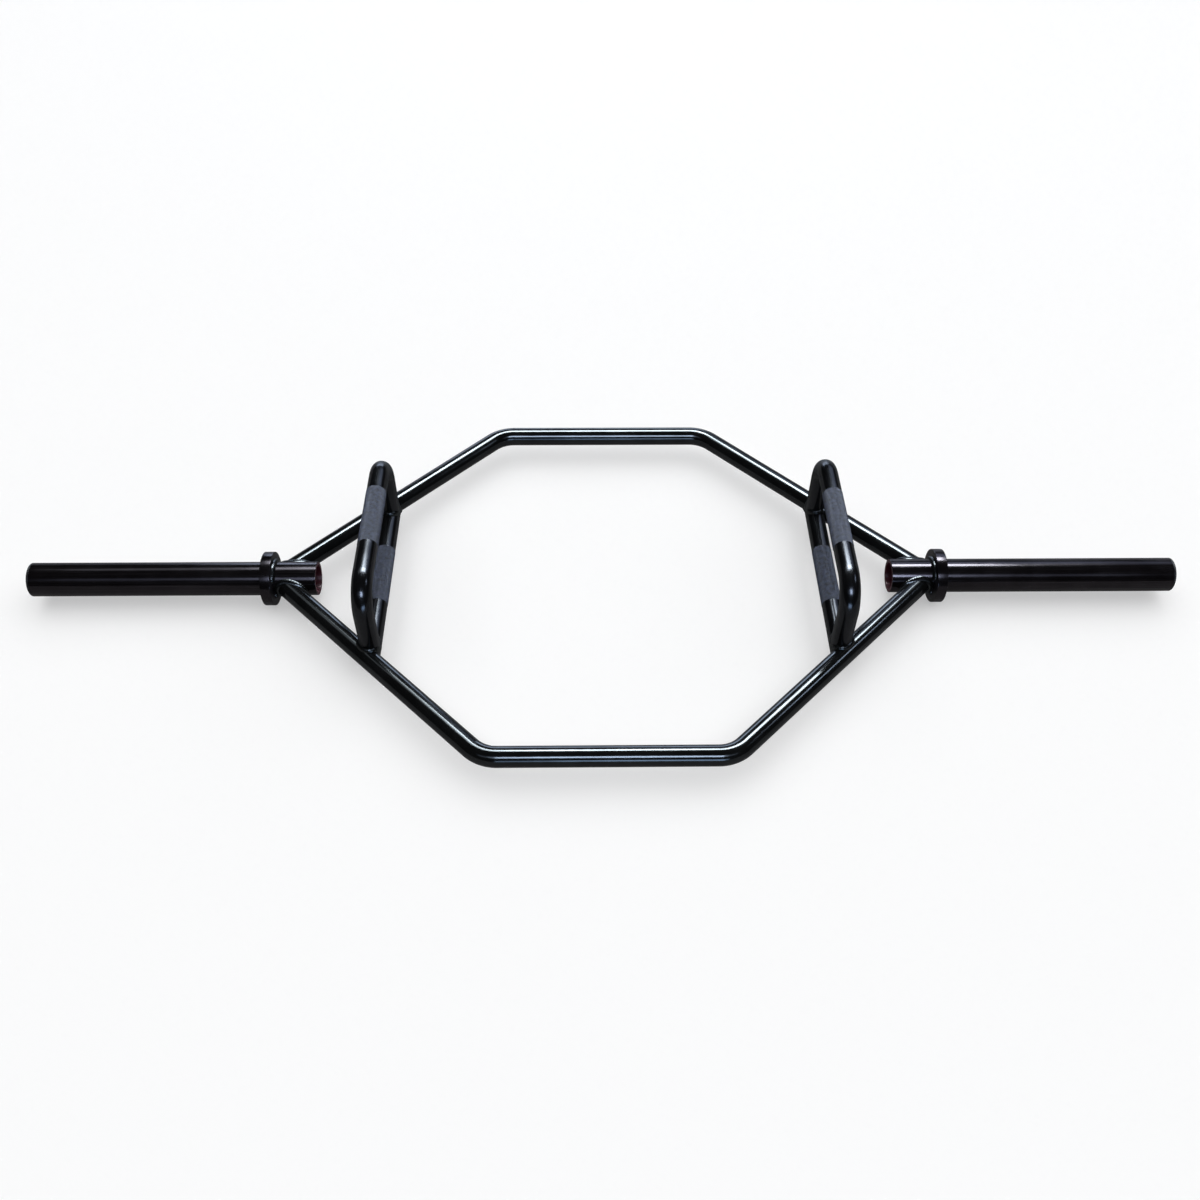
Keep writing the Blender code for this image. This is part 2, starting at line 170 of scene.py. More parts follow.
class PaintColours(bpy.types.PropertyGroup):
    """Linear colours and roughness of each finish."""

    frame: a_colour("Frame", "Gloss black paint", (0.0113, 0.0122, 0.0128))
    sleeve: a_colour("Sleeve", "Satin black paint", (0.0096, 0.0083, 0.0095))
    handle: a_colour("Handle", "Black paint on the handles", (0.009, 0.0095, 0.0107))
    knurl: a_colour("Knurl", "Matte paint on the knurling", (0.013, 0.0165, 0.033))
    primer: a_colour("Primer", "Red-brown primer in the bores", (0.036, 0.0045, 0.0095))
    plastic: a_colour("Plastic", "Moulded end caps", (0.009, 0.009, 0.010))
    frame_roughness: a_number("Frame roughness", "Gloss paint", 0.125)
    sleeve_roughness: a_number("Sleeve roughness", "Satin paint", 0.15)
    handle_roughness: a_number("Handle roughness", "Handle paint", 0.165)
    knurl_roughness: a_number("Knurl roughness", "Knurled paint", 0.42)
    primer_roughness: a_number("Primer roughness", "Primer in the bores", 0.3)
    plastic_roughness: a_number("Plastic roughness", "Moulded end caps", 0.42)
    paint_shine: a_number("Paint shine", "Reflectivity of the black paints", 0.11)
    knurl_shine: a_number("Knurl shine", "Reflectivity of the knurled paint", 0.18)
    metal_share: a_number("Metal share", "How far the black paints reflect as dark metal does", 0.7)
    edge_tint: a_number("Edge tint", "How much of a glancing reflection the black paints keep", 0.5)
    edge_haze: a_number("Edge haze", "Roughness that paint gains where it is seen at a glancing angle", 0.5)


class StudioSettings(bpy.types.PropertyGroup):
    """Floor, lamps and camera."""

    floor_reach: a_length("Floor reach", "From the middle to each edge", 12.0)
    floor_colour: a_colour("Floor", "Pale floor", (0.9, 0.9, 0.9))
    floor_white: a_number("Floor white", "Share of plain white that the floor shows", 0.4, min=0, max=1)
    room_colour: a_colour("Room", "Light from all round", (0.05, 0.052, 0.058))
    sun_strength: a_number("Overhead light", "Soft light from above", 3.15)
    sun_spread: an_angle("Overhead spread", "Softness of shadows", 110)
    strip_radiance: a_number("Strip radiance", "Brightness of the long softbox", 139.0)
    window_radiance: a_number("Window radiance", "Brightness of the front light", 67.0)
    back_radiance: a_number("Back radiance", "Brightness of the back light", 10.0)
    focal_pixels: a_number("Focal length", "In pixels of the photo", 1180.0)
    photo_pixels: a_number("Photo width", "In pixels", 1200.0)
    camera_distance: a_length("Camera distance", "To the point it looks at", 1.7396)
    camera_elevation: an_angle("Camera elevation", "Above the horizon", 48.35)
    camera_yaw: an_angle("Camera yaw", "Round to the left", 1.13)
    camera_roll: an_angle("Camera roll", "Round the view's axis", 0.56)
    aim: FloatVectorProperty(
        name="Aim", description="Point in the frame plane", default=(-0.0073, -0.0462), size=2, unit="LENGTH"
    )


SETTINGS = {
    "bar_tubes": TubeSizes,
    "bar_grips": GripSizes,
    "bar_welds": WeldSizes,
    "bar_paints": PaintColours,
    "bar_studio": StudioSettings,
}


def settings(group):
    """The user's values of one group, such as the tubes or the welds."""
    return getattr(bpy.context.scene, "bar_" + group)


def wire_up(tree, node, given):
    """Sets or wires each input in given, by the socket's name or number."""
    for key, value in given.items():
        if isinstance(value, bpy.types.NodeSocket):
            tree.links.new(value, node.inputs[key])
        else:
            node.inputs[key].default_value = value


def place_node(tree, kind, given=None, **options):
    node = tree.nodes.new(kind)
    for name, value in options.items():
        setattr(node, name, value)
    wire_up(tree, node, given or {})
    return node


def computed(tree, operation, *values):
    return place_node(tree, "ShaderNodeMath", dict(enumerate(values)), operation=operation).outputs[0]


def mapped(tree, value, low, high, to_low=0.0, to_high=1.0):
    """The value brought from the range low to high into the second one, and kept inside it."""
    given = {"Value": value, "From Min": low, "From Max": high, "To Min": to_low, "To Max": to_high}
    return place_node(tree, "ShaderNodeMapRange", given).outputs["Result"]


def noise(tree, vector, scale, detail, roughness=0.5):
    given = {"Vector": vector, "Scale": scale, "Detail": detail, "Roughness": roughness}
    return place_node(tree, "ShaderNodeTexNoise", given).outputs[0]


class Wiring:
    """A node tree written as calls: each call places one node and wires what it is given."""

    def __init__(self, name, kind):
        self.tree = bpy.data.node_groups.new(name, kind)
        self.entry = self.tree.nodes.new("NodeGroupInput")
        self.exit = self.tree.nodes.new("NodeGroupOutput")

    def input(self, name, kind="Float", default=None):
        socket = self.tree.interface.new_socket(name, in_out="INPUT", socket_type="NodeSocket" + kind)
        if default is not None:
            socket.default_value = default
        return self.entry.outputs[name]

    def inputs(self, kind, *names):
        return [self.input(name, kind) for name in names]

    def output(self, name, kind, source):
        self.tree.interface.new_socket(name, in_out="OUTPUT", socket_type="NodeSocket" + kind)
        self.tree.links.new(source, self.exit.inputs[name])

    def node(self, kind, given=None, **options):
        return place_node(self.tree, kind, given, **options)

    def result(self, kind, given=None, **options):
        """The first output of a Geometry Nodes node."""
        return self.node("GeometryNode" + kind, given, **options).outputs[0]

    def math(self, operation, *values):
        return computed(self.tree, operation, *values)

    def vector(self, operation, *values, **named):
        given = {**dict(enumerate(values)), **named}
        return self.node("ShaderNodeVectorMath", given, operation=operation).outputs["Vector"]

    def scaled(self, vector, factor):
        return self.vector("SCALE", vector, Scale=factor)

    def xyz(self, x=0.0, y=0.0, z=0.0):
        return self.node("ShaderNodeCombineXYZ", {0: x, 1: y, 2: z}).outputs[0]

    def captured(self, geometry, **fields):
        """The geometry and, by their names, the (kind, field) pairs as they stand on its points now."""
        node = self.node("GeometryNodeCaptureAttribute", {"Geometry": geometry}, domain="POINT")
        for name, (kind, _) in fields.items():
            node.capture_items.new(kind, name)
        for name, (_, field) in fields.items():
            self.tree.links.new(field, node.inputs[name])
        return node.outputs

    def moved(self, geometry, **where):
        return self.result("SetPosition", {"Geometry": geometry, **where})

    def smooth(self, geometry):
        return self.result("SetShadeSmooth", {"Geometry": geometry})

    def real(self, geometry):
        return self.result("RealizeInstances", {"Geometry": geometry})

    def painted(self, geometry, paint):
        return self.result("SetMaterial", {"Geometry": geometry, "Material": paint})


def group_named(name, build):
    """The node group of this name, built once."""
    return bpy.data.node_groups.get(name) or build(name)


def link_to_scene(name, data):
    obj = bpy.data.objects.new(name, data)
    bpy.context.scene.collection.objects.link(obj)
    return obj


def finish_piece(obj, nodes):
    """The piece rides on the bar and takes the place of its solids, which it hides."""
    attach(obj, "root")
    if nodes:
        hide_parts(*nodes)


def grown(name, mesh, tree, values, crease=None):
    """The plain mesh that a Geometry Nodes tree makes of a mesh, as an object of its own."""
    seed_object = link_to_scene(name + "_path", mesh)
    modifier = seed_object.modifiers.new(tree.name, "NODES")
    modifier.node_group = tree
    for item in tree.interface.items_tree:
        if item.item_type == "SOCKET" and item.name in values:
            modifier[item.identifier] = values[item.name]
    bpy.context.view_layer.update()
    evaluated = seed_object.evaluated_get(bpy.context.evaluated_depsgraph_get())
    grown_mesh = bpy.data.meshes.new_from_object(evaluated)
    seed_object.modifiers.remove(modifier)
    bpy.data.objects.remove(seed_object)
    if not grown_mesh.polygons:
        raise RuntimeError(f"{name}: the tree {tree.name} made no faces")
    grown_mesh.name = name
    if crease is not None:
        grown_mesh.set_sharp_from_angle(angle=crease)
    return link_to_scene(name, grown_mesh)


def bent_tube_tree(name):
    """Sweeps a hollow tube along a polyline with rounded corners and copes its ends to their seats."""
    w = Wiring(name, "GeometryNodeTree")
    corners = w.input("Path", "Geometry")
    radius, wall, bend_radius = w.inputs("Float", "Tube Radius", "Wall", "Bend Radius")
    reach, gap = w.inputs("Float", "Cope Reach", "Seat Gap")
    bend_steps, sides = w.inputs("Int", "Bend Steps", "Sides")
    seats = w.input("Seats", "Collection")
    paint, primer = w.inputs("Material", "Paint", "Primer")
    very_end, under_two, merge_distance = 0.4999, 1.5, 0.000002

    fillet = {
        "Curve": w.result("MeshToCurve", {"Mesh": corners}),
        "Radius": bend_radius,
        "Count": bend_steps,
    }
    place = w.result("InputPosition")
    path = w.captured(
        w.result("FilletCurve", fillet, mode="POLY"),
        Centre=("VECTOR", place),
        Run=("VECTOR", w.result("InputTangent")),
        Share=("FLOAT", w.result("SplineParameter")),
    )
    seat_mesh = w.real(w.result("CollectionInfo", {"Collection": seats}))
    past_middle = w.math("GREATER_THAN", path["Share"], 0.5)
    outwards = w.scaled(path["Run"], w.math("MULTIPLY_ADD", past_middle, 2, -1))
    from_middle = w.math("ABSOLUTE", w.math("SUBTRACT", path["Share"], 0.5))
    at_end = w.math("GREATER_THAN", from_middle, very_end)

    def coped(start):
        """The start moved along the run until it meets the seats."""
        ray = {
            "Target Geometry": seat_mesh,
            "Source Position": w.vector("SUBTRACT", start, w.scaled(outwards, reach)),
            "Ray Direction": outwards,
            "Ray Length": w.math("MULTIPLY", reach, 2),
        }
        hit = w.node("GeometryNodeRaycast", ray).outputs
        seated = w.vector("SUBTRACT", hit["Hit Position"], w.scaled(outwards, gap))
        choice = {"Switch": hit["Is Hit"], "False": start, "True": seated}
        return w.result("Switch", choice, input_type="VECTOR")

    def swept(skin_radius):
        circle = {"Resolution": sides, "Radius": skin_radius}
        profile = w.result("CurvePrimitiveCircle", circle, mode="RADIUS")
        return w.result("CurveToMesh", {"Curve": path["Geometry"], "Profile Curve": profile})

    bore_radius = w.math("SUBTRACT", radius, wall)
    from_centre = w.vector("SUBTRACT", place, path["Centre"])
    to_bore = w.scaled(from_centre, w.math("DIVIDE", bore_radius, radius))
    bore_end = coped(w.vector("ADD", path["Centre"], to_bore))
    outside = w.captured(swept(radius), Bore=("VECTOR", bore_end))
    skin = w.moved(outside["Geometry"], Selection=at_end, Position=coped(place))
    rim = w.math("LESS_THAN", w.result("InputMeshEdgeNeighbors"), under_two)
    lip = {"Mesh": skin, "Selection": rim, "Offset Scale": 0.0}
    lipped = w.node("GeometryNodeExtrudeMesh", lip, mode="EDGES").outputs
    closed_skin = w.moved(lipped["Mesh"], Selection=lipped["Top"], Position=outside["Bore"])
    bore = w.moved(swept(bore_radius), Selection=at_end, Position=coped(place))
    bore = w.result("FlipFaces", {"Mesh": bore})

    join = w.node("GeometryNodeJoinGeometry")
    for surface in (w.painted(closed_skin, paint), w.painted(bore, primer)):
        w.tree.links.new(surface, join.inputs["Geometry"])
    merge = {"Geometry": join.outputs["Geometry"], "Distance": merge_distance}
    w.output("Tube", "Geometry", w.real(w.smooth(w.result("MergeByDistance", merge))))
    return w.tree


def knurl_tree(name):
    """Rows of four-sided diamonds, each row set half a pitch on, round a tube along Y."""
    w = Wiring(name, "GeometryNodeTree")
    middle_point = w.input("Middle", "Vector")
    radius, length, pitch, angle = w.inputs(
        "Float", "Tube Radius", "Length", "Diamond Width", "Diamond Angle"
    )
    height, flat, wear = w.inputs("Float", "Height", "Flat Share", "Wear")
    seed = w.input("Seed", "Int")
    paint = w.input("Paint", "Material")

    around = w.math("ROUND", w.math("DIVIDE", w.math("MULTIPLY", radius, math.tau), pitch))
    half_width = w.math("DIVIDE", w.math("MULTIPLY", radius, math.pi), around)
    wanted_row = w.math("DIVIDE", half_width, w.math("TANGENT", angle))
    rows = w.math("ROUND", w.math("SUBTRACT", w.math("DIVIDE", length, wanted_row), 1))
    row_step = w.math("DIVIDE", length, w.math("ADD", rows, 1))
    points = w.result("Points", {"Count": w.math("MULTIPLY", around, rows)})

    index = w.result("InputIndex")
    row = w.math("FLOOR", w.math("DIVIDE", w.math("ADD", index, 0.5), around))
    column = w.math("SUBTRACT", index, w.math("MULTIPLY", row, around))
    stagger = w.math("MULTIPLY", w.math("FLOORED_MODULO", row, 2), 0.5)
    turn = w.math("MULTIPLY", w.math("DIVIDE", w.math("ADD", column, stagger), around), math.tau)
    outward = w.xyz(x=w.math("SINE", turn), z=w.math("COSINE", turn))
    first_row = w.math("MULTIPLY", w.math("SUBTRACT", rows, 1), 0.5)
    step_along = w.xyz(y=w.math("MULTIPLY", w.math("SUBTRACT", row, first_row), row_step))
    on_tube = w.vector("ADD", w.scaled(outward, radius), step_along)

    cone = {"Vertices": 4, "Radius Top": flat, "Radius Bottom": 1.0, "Depth": 1.0}
    facing = {"Primary Axis": outward, "Secondary Axis": (0, 1, 0)}
    rotation = w.node("FunctionNodeAxesToRotation", facing, primary_axis="Z", secondary_axis="Y")
    worn = {2: w.math("SUBTRACT", 1, wear), 3: 1.0, "Seed": seed}
    pressed = w.node("FunctionNodeRandomValue", worn, data_type="FLOAT").outputs[1]
    copies = {
        "Points": w.moved(points, Position=w.vector("ADD", middle_point, on_tube)),
        "Instance": w.result("MeshCone", cone, fill_type="NGON"),
        "Rotation": rotation.outputs["Rotation"],
        "Scale": w.xyz(half_width, row_step, w.math("MULTIPLY", height, pressed)),
    }
    w.output("Knurl", "Geometry", w.painted(w.real(w.result("InstanceOnPoints", copies)), paint))
    return w.tree


def weld_ripple_tree(name):
    """Raises bowed ripples and an uneven swell along a bead's crown, and leaves its toes where they are."""
    w = Wiring(name, "GeometryNodeTree")
    bead = w.input("Bead", "Geometry")
    seam_length, pitch, height, bow = w.inputs(
        "Float", "Seam Length", "Ripple Pitch", "Ripple Height", "Ripple Bow"
    )
    unevenness, density = w.inputs("Float", "Unevenness", "Lump Density")
    seed = w.input("Seed", "Int")
    paint = w.input("Paint", "Material")
    mean_hump = 0.6

    def stored(attribute):
        return w.result("InputNamedAttribute", {"Name": attribute}, data_type="FLOAT")

    across = stored("across")
    off_middle = w.math("MULTIPLY", across, across)
    count = w.math("ROUND", w.math("DIVIDE", seam_length, pitch))
    phase = w.math("ADD", w.math("MULTIPLY", stored("turn"), count), w.math("MULTIPLY", off_middle, bow))
    part = w.math("FRACT", phase)
    hump = w.math("MULTIPLY", w.math("MULTIPLY", part, w.math("SUBTRACT", 1, part)), 4)
    ripple = w.math("MULTIPLY", w.math("SUBTRACT", hump, mean_hump), height)
    lumps = {"Scale": density, "Detail": 2.0, "W": seed}
    swell = w.node("ShaderNodeTexNoise", lumps, noise_dimensions="4D").outputs[0]
    rise = w.math("ADD", ripple, w.math("MULTIPLY", w.math("SUBTRACT", swell, 0.5), unevenness))
    lift = w.math("MULTIPLY", rise, w.math("MULTIPLY", w.math("SUBTRACT", 1, off_middle), stored("crown")))
    rippled = w.moved(bead, Offset=w.scaled(w.result("InputNormal"), lift))
    w.output("Weld", "Geometry", w.painted(w.real(w.smooth(rippled)), paint))
    return w.tree


# From where to where in a noise a mask fades in
SPECK_EDGE, PATCH_EDGE = (0.66, 0.76), (0.42, 0.62)
MOTTLE_EDGE, RUB_EDGE = (0.3, 0.7), (0.52, 0.74)
GLOSS_SPREAD = (0.85, 1.2)  # Least and most roughness of a paint, as shares of its own
GLANCING = (0.45, 0.85)  # How far a surface turns away as the haze sets in
DUST_TINT, RUB_TINT = (1.5, 0.05), (1.6, 0.012)  # Times the paint's colour, and added grey
RUB_ROUGHNESS = 0.1


def paint_film_group(name):
    """Orange peel, broad mottling and fine dust of a sprayed or powder-coated surface."""
    w = Wiring(name, "ShaderNodeTree")
    vector = w.input("Vector", "Vector")
    peel_scale = w.input("Peel Scale", default=420.0)
    mottle_scale = w.input("Mottle Scale", default=28.0)
    dust_scale = w.input("Dust Scale", default=900.0)
    dust_amount = w.input("Dust Amount", default=0.3)
    grain = 0.55
    mottle = noise(w.tree, vector, mottle_scale, 3.0, grain)
    specks = mapped(w.tree, noise(w.tree, vector, dust_scale, 1.0, grain), *SPECK_EDGE)
    in_patches = w.math("MULTIPLY", specks, mapped(w.tree, mottle, *PATCH_EDGE))
    w.output("Height", "Float", noise(w.tree, vector, peel_scale, 2.0, grain))
    w.output("Mottle", "Float", mottle)
    w.output("Dust", "Float", w.math("MULTIPLY", in_patches, dust_amount))
    return w.tree


def rub_marks_group(name):
    """Fine marks that run one way, where plates or hands slide along a piece."""
    w = Wiring(name, "ShaderNodeTree")
    vector = w.input("Vector", "Vector")
    stretch = w.input("Stretch", "Vector", (6.0, 420.0, 420.0))
    amount = w.input("Amount", default=0.5)
    streaks = noise(w.tree, w.vector("MULTIPLY", vector, stretch), 1.0, 3.0, 0.6)
    w.output("Marks", "Float", w.math("MULTIPLY", mapped(w.tree, streaks, *RUB_EDGE), amount))
    return w.tree


def blank_material(name):
    """A new material, its node tree and its Principled shader."""
    material = bpy.data.materials.new(name)
    material.use_nodes = True
    return material, material.node_tree, material.node_tree.nodes["Principled BSDF"]


def object_coordinates(tree):
    return place_node(tree, "ShaderNodeTexCoord").outputs["Object"]


def mix_colour(tree, factor, first, second):
    """The colour between two, by a mask. The colours may be sockets or plain values."""
    as_colour = [c if isinstance(c, bpy.types.NodeSocket) else (*c, 1) for c in (first, second)]
    given = {0: factor, 6: as_colour[0], 7: as_colour[1]}
    return place_node(tree, "ShaderNodeMix", given, data_type="RGBA").outputs[2]


def lighter(colour, times, lift=0.0):
    return tuple(channel * times + lift for channel in colour)


def painted_material(
    name, colour, roughness, peel=0.000008, peel_scale=420.0, dust=0.25, marks=None, mottle=(28.0, 0.2),
    shine=None, black=True,
):
    """Paint with orange peel, mottled gloss and dust.

    Marks is (stretch, amount) of rubbed lines, and mottle is (scale, contrast) of lighter patches. A
    smooth black paint reflects the floor less at a glancing angle than the others do."""
    paints = settings("paints")
    material, tree, shader = blank_material(name)
    where = object_coordinates(tree)
    mottle_scale, contrast = mottle
    given = {"Vector": where, "Peel Scale": peel_scale, "Mottle Scale": mottle_scale, "Dust Amount": dust}
    film_group = group_named("Paint film", paint_film_group)
    film = place_node(tree, "ShaderNodeGroup", given, node_tree=film_group).outputs

    patches = mapped(tree, film["Mottle"], *MOTTLE_EDGE)
    shade = mix_colour(tree, patches, lighter(colour, 1 - contrast), lighter(colour, 1 + contrast))
    shade = mix_colour(tree, film["Dust"], shade, lighter(colour, *DUST_TINT))
    smoothest, roughest = (roughness * share for share in GLOSS_SPREAD)
    gloss = mapped(tree, film["Mottle"], *MOTTLE_EDGE, smoothest, roughest)
    if marks:
        given = {"Vector": where, "Stretch": marks[0], "Amount": marks[1]}
        rub_group = group_named("Rub marks", rub_marks_group)
        rubbed = place_node(tree, "ShaderNodeGroup", given, node_tree=rub_group).outputs["Marks"]
        shade = mix_colour(tree, rubbed, shade, lighter(colour, *RUB_TINT))
        gloss = computed(tree, "MULTIPLY_ADD", rubbed, RUB_ROUGHNESS, gloss)
    turned_away = place_node(tree, "ShaderNodeLayerWeight", {"Blend": 0.5}).outputs["Facing"]
    haze = mapped(tree, turned_away, *GLANCING, 0.0, paints.edge_haze)
    bump = {"Height": film["Height"], "Strength": 1.0, "Distance": peel}
    surface = {
        "Base Color": shade,
        "Roughness": computed(tree, "ADD", gloss, haze),
        "Normal": place_node(tree, "ShaderNodeBump", bump).outputs["Normal"],
        "Specular IOR Level": shine or paints.paint_shine,
    }
    if black:
        surface["Metallic"] = paints.metal_share
        surface["Specular Tint"] = (*[paints.edge_tint] * 3, 1)
    wire_up(tree, shader, surface)
    return material


def material_named(name):
    """One of the bar's finishes, made the first time that it is asked for."""
    found = bpy.data.materials.get(name)
    if found:
        return found
    paints = settings("paints")
    hanging_marks = {"marks": ((5.0, 380.0, 380.0), 0.45)}
    hand_marks = {"marks": ((380.0, 5.0, 380.0), 0.08)}
    pressed = {"peel": 0.00004, "peel_scale": 900.0, "dust": 0.5, "mottle": (190.0, 0.7), "black": False}
    knurled = {"shine": paints.knurl_shine, **pressed}
    over_bead = {"peel": 0.00006, "peel_scale": 700.0}
    brushed_on = {"peel": 0.00005, "peel_scale": 500.0, "dust": 0.5, "black": False}
    moulded = {"peel": 0.00003, "peel_scale": 1400.0, "black": False}
    bead_roughness = paints.frame_roughness * 1.3
    recipes = {
        "gloss_black_paint": (paints.frame, paints.frame_roughness, {}),
        "satin_sleeve_paint": (paints.sleeve, paints.sleeve_roughness, hanging_marks),
        "satin_collar_paint": (paints.sleeve, paints.sleeve_roughness, {"dust": 0.4}),
        "gloss_handle_paint": (paints.handle, paints.handle_roughness, hand_marks),
        "matte_knurl_paint": (paints.knurl, paints.knurl_roughness, knurled),
        "bead_paint": (paints.frame, bead_roughness, over_bead),
        "bore_primer": (paints.primer, paints.primer_roughness, brushed_on),
        "moulded_cap_plastic": (paints.plastic, paints.plastic_roughness, moulded),
    }
    colour, roughness, finish = recipes[name]
    return painted_material(name, colour, roughness, **finish)


def slant_direction():
    """Direction of the right rear slanted run, from the rail's corner towards the sleeve, in X and -Y."""
    tubes = settings("tubes")
    return Vector(((tubes.rail_length - tubes.frame_length) / 2, RAIL_Y, 0)).normalized()


def meeting_point(x_side):
    return Vector((x_side * settings("tubes").frame_length / 2, 0, AXIS_HEIGHT))


def run_direction(x_side, y_side):
    """From the meeting point on the sleeve's axis outwards along a slanted run."""
    slant = slant_direction()
    return Vector((x_side * slant.x, y_side * slant.y, 0))


def rail_corner(x_side, y_side):
    return Vector((x_side * settings("tubes").rail_length / 2, y_side * RAIL_Y, AXIS_HEIGHT))


def handle_end(x_side, y_side):
    """Where the low handle meets the side tube's axis."""
    slant = slant_direction()
    past_point = settings("tubes").frame_length / 2 - HANDLE_X
    return Vector((x_side * HANDLE_X, y_side * past_point * -slant.y / slant.x, AXIS_HEIGHT))


def leg_foot(x_side, y_side):
    return Vector((x_side * HANDLE_X, y_side * LEG_Y, AXIS_HEIGHT))


def swept_tube(node, corners, bend_radius, seats, paint):
    """A coped tube along the corners. Seats are the finished pieces that its ends meet."""
    name = "painted_" + node
    tubes = settings("tubes")
    path = bpy.data.meshes.new(name)
    path.from_pydata(corners, [(i, i + 1) for i in range(len(corners) - 1)], [])
    seat_collection = bpy.data.collections.new(name + "_seats")
    bpy.context.scene.collection.children.link(seat_collection)
    for seat in seats:
        seat_collection.objects.link(bpy.data.objects[seat])
    values = {
        "Tube Radius": TUBE_RADIUS,
        "Wall": tubes.tube_wall,
        "Bend Radius": bend_radius,
        "Bend Steps": tubes.bend_steps,
        "Sides": tubes.tube_sides,
        "Seats": seat_collection,
        "Cope Reach": tubes.cope_reach,
        "Seat Gap": tubes.seat_gap,
        "Paint": material_named(paint),
        "Primer": material_named("bore_primer"),
    }
    tube = grown(name, path, group_named("Bent tube", bent_tube_tree), values, tubes.crease)
    bpy.data.collections.remove(seat_collection)
    finish_piece(tube, [node])


def rounded_profile(points):
    """(x, radius) points with each corner of a radius above zero rounded off."""
    steps = settings("tubes").edge_steps
    rounded = []
    for i, (x, r, corner_radius) in enumerate(points):
        corner = Vector((x, r))
        if not corner_radius:
            rounded.append(corner)
            continue
        before = Vector(points[i - 1][:2])
        after = Vector(points[(i + 1) % len(points)][:2])
        arrive = (corner - before).normalized()
        leave = (after - corner).normalized()
        trim = corner_radius * math.tan(arrive.angle(leave) / 2)
        start = corner - arrive * trim
        end = corner + leave * trim
        for step in range(steps + 1):
            share = step / steps
            rounded.append(start.lerp(corner, share).lerp(corner.lerp(end, share), share))
    return rounded


def mesh_from(bm, name):
    mesh = bpy.data.meshes.new(name)
    bm.to_mesh(mesh)
    bm.free()
    return mesh


def turned_piece(name, profile, x_side, paints):
    """A closed profile turned about the sleeves' axis. A second paint covers its ends and its bore."""
    tubes = settings("tubes")
    sides = tubes.turned_sides
    outward_share = 0.3
    bm = bmesh.new()
    rings = []
    for x, radius in profile:
        ring = []
        for i in range(sides if radius else 1):
            angle = math.tau * i / sides
            y = radius * math.cos(angle)
            z = AXIS_HEIGHT + radius * math.sin(angle)
            ring.append(bm.verts.new((x_side * x, y, z)))
        rings.append(ring)
    for first, second in zip(rings, rings[1:] + rings[:1]):
        for i in range(sides):
            j = (i + 1) % sides
            if len(first) == len(second) == 1:
                break
            if len(first) == 1:
                bm.faces.new((first[0], second[j], second[i]))
            elif len(second) == 1:
                bm.faces.new((first[i], first[j], second[0]))
            else:
                bm.faces.new((first[i], first[j], second[j], second[i]))
    bmesh.ops.recalc_face_normals(bm, faces=bm.faces)
    for face in bm.faces:
        from_axis = face.calc_center_median() - Vector((0, 0, AXIS_HEIGHT))
        from_axis.x = 0
        faces_out = face.normal.dot(from_axis) > outward_share * from_axis.length
        face.material_index = int(len(paints) > 1 and not faces_out)
        face.smooth = True
    mesh = mesh_from(bm, name)
    for paint in paints:
        mesh.materials.append(material_named(paint))
    mesh.set_sharp_from_angle(angle=tubes.crease)
    return link_to_scene(name, mesh)


def turn_both(prefix, part, profile, slot, *paints):
    """The left and the right piece of one profile, each in place of its solid."""
    for side_name, x_side in SIDES:
        node = f"{side_name}_{part}"
        piece = turned_piece(f"{prefix}_{node}", profile, x_side, paints)
        finish_piece(piece, [node])


def across_axis(point, axis_point, axis_direction):
    """The shortest vector from the axis to the point."""
    offset = point - axis_point
    return offset - axis_direction * offset.dot(axis_direction)


def onto_tubes(point, tubes, gap, moves=3):
    """The point moved onto the nearest tube's skin, and out of a second tube that it lands in."""
    for _ in range(moves):
        offsets = [(across_axis(point, *axis), radius + gap) for axis, radius in tubes]
        offset, skin_radius = min(offsets, key=lambda pair: pair[0].length - pair[1])
        point = point + offset.normalized() * (skin_radius - offset.length)
    return point


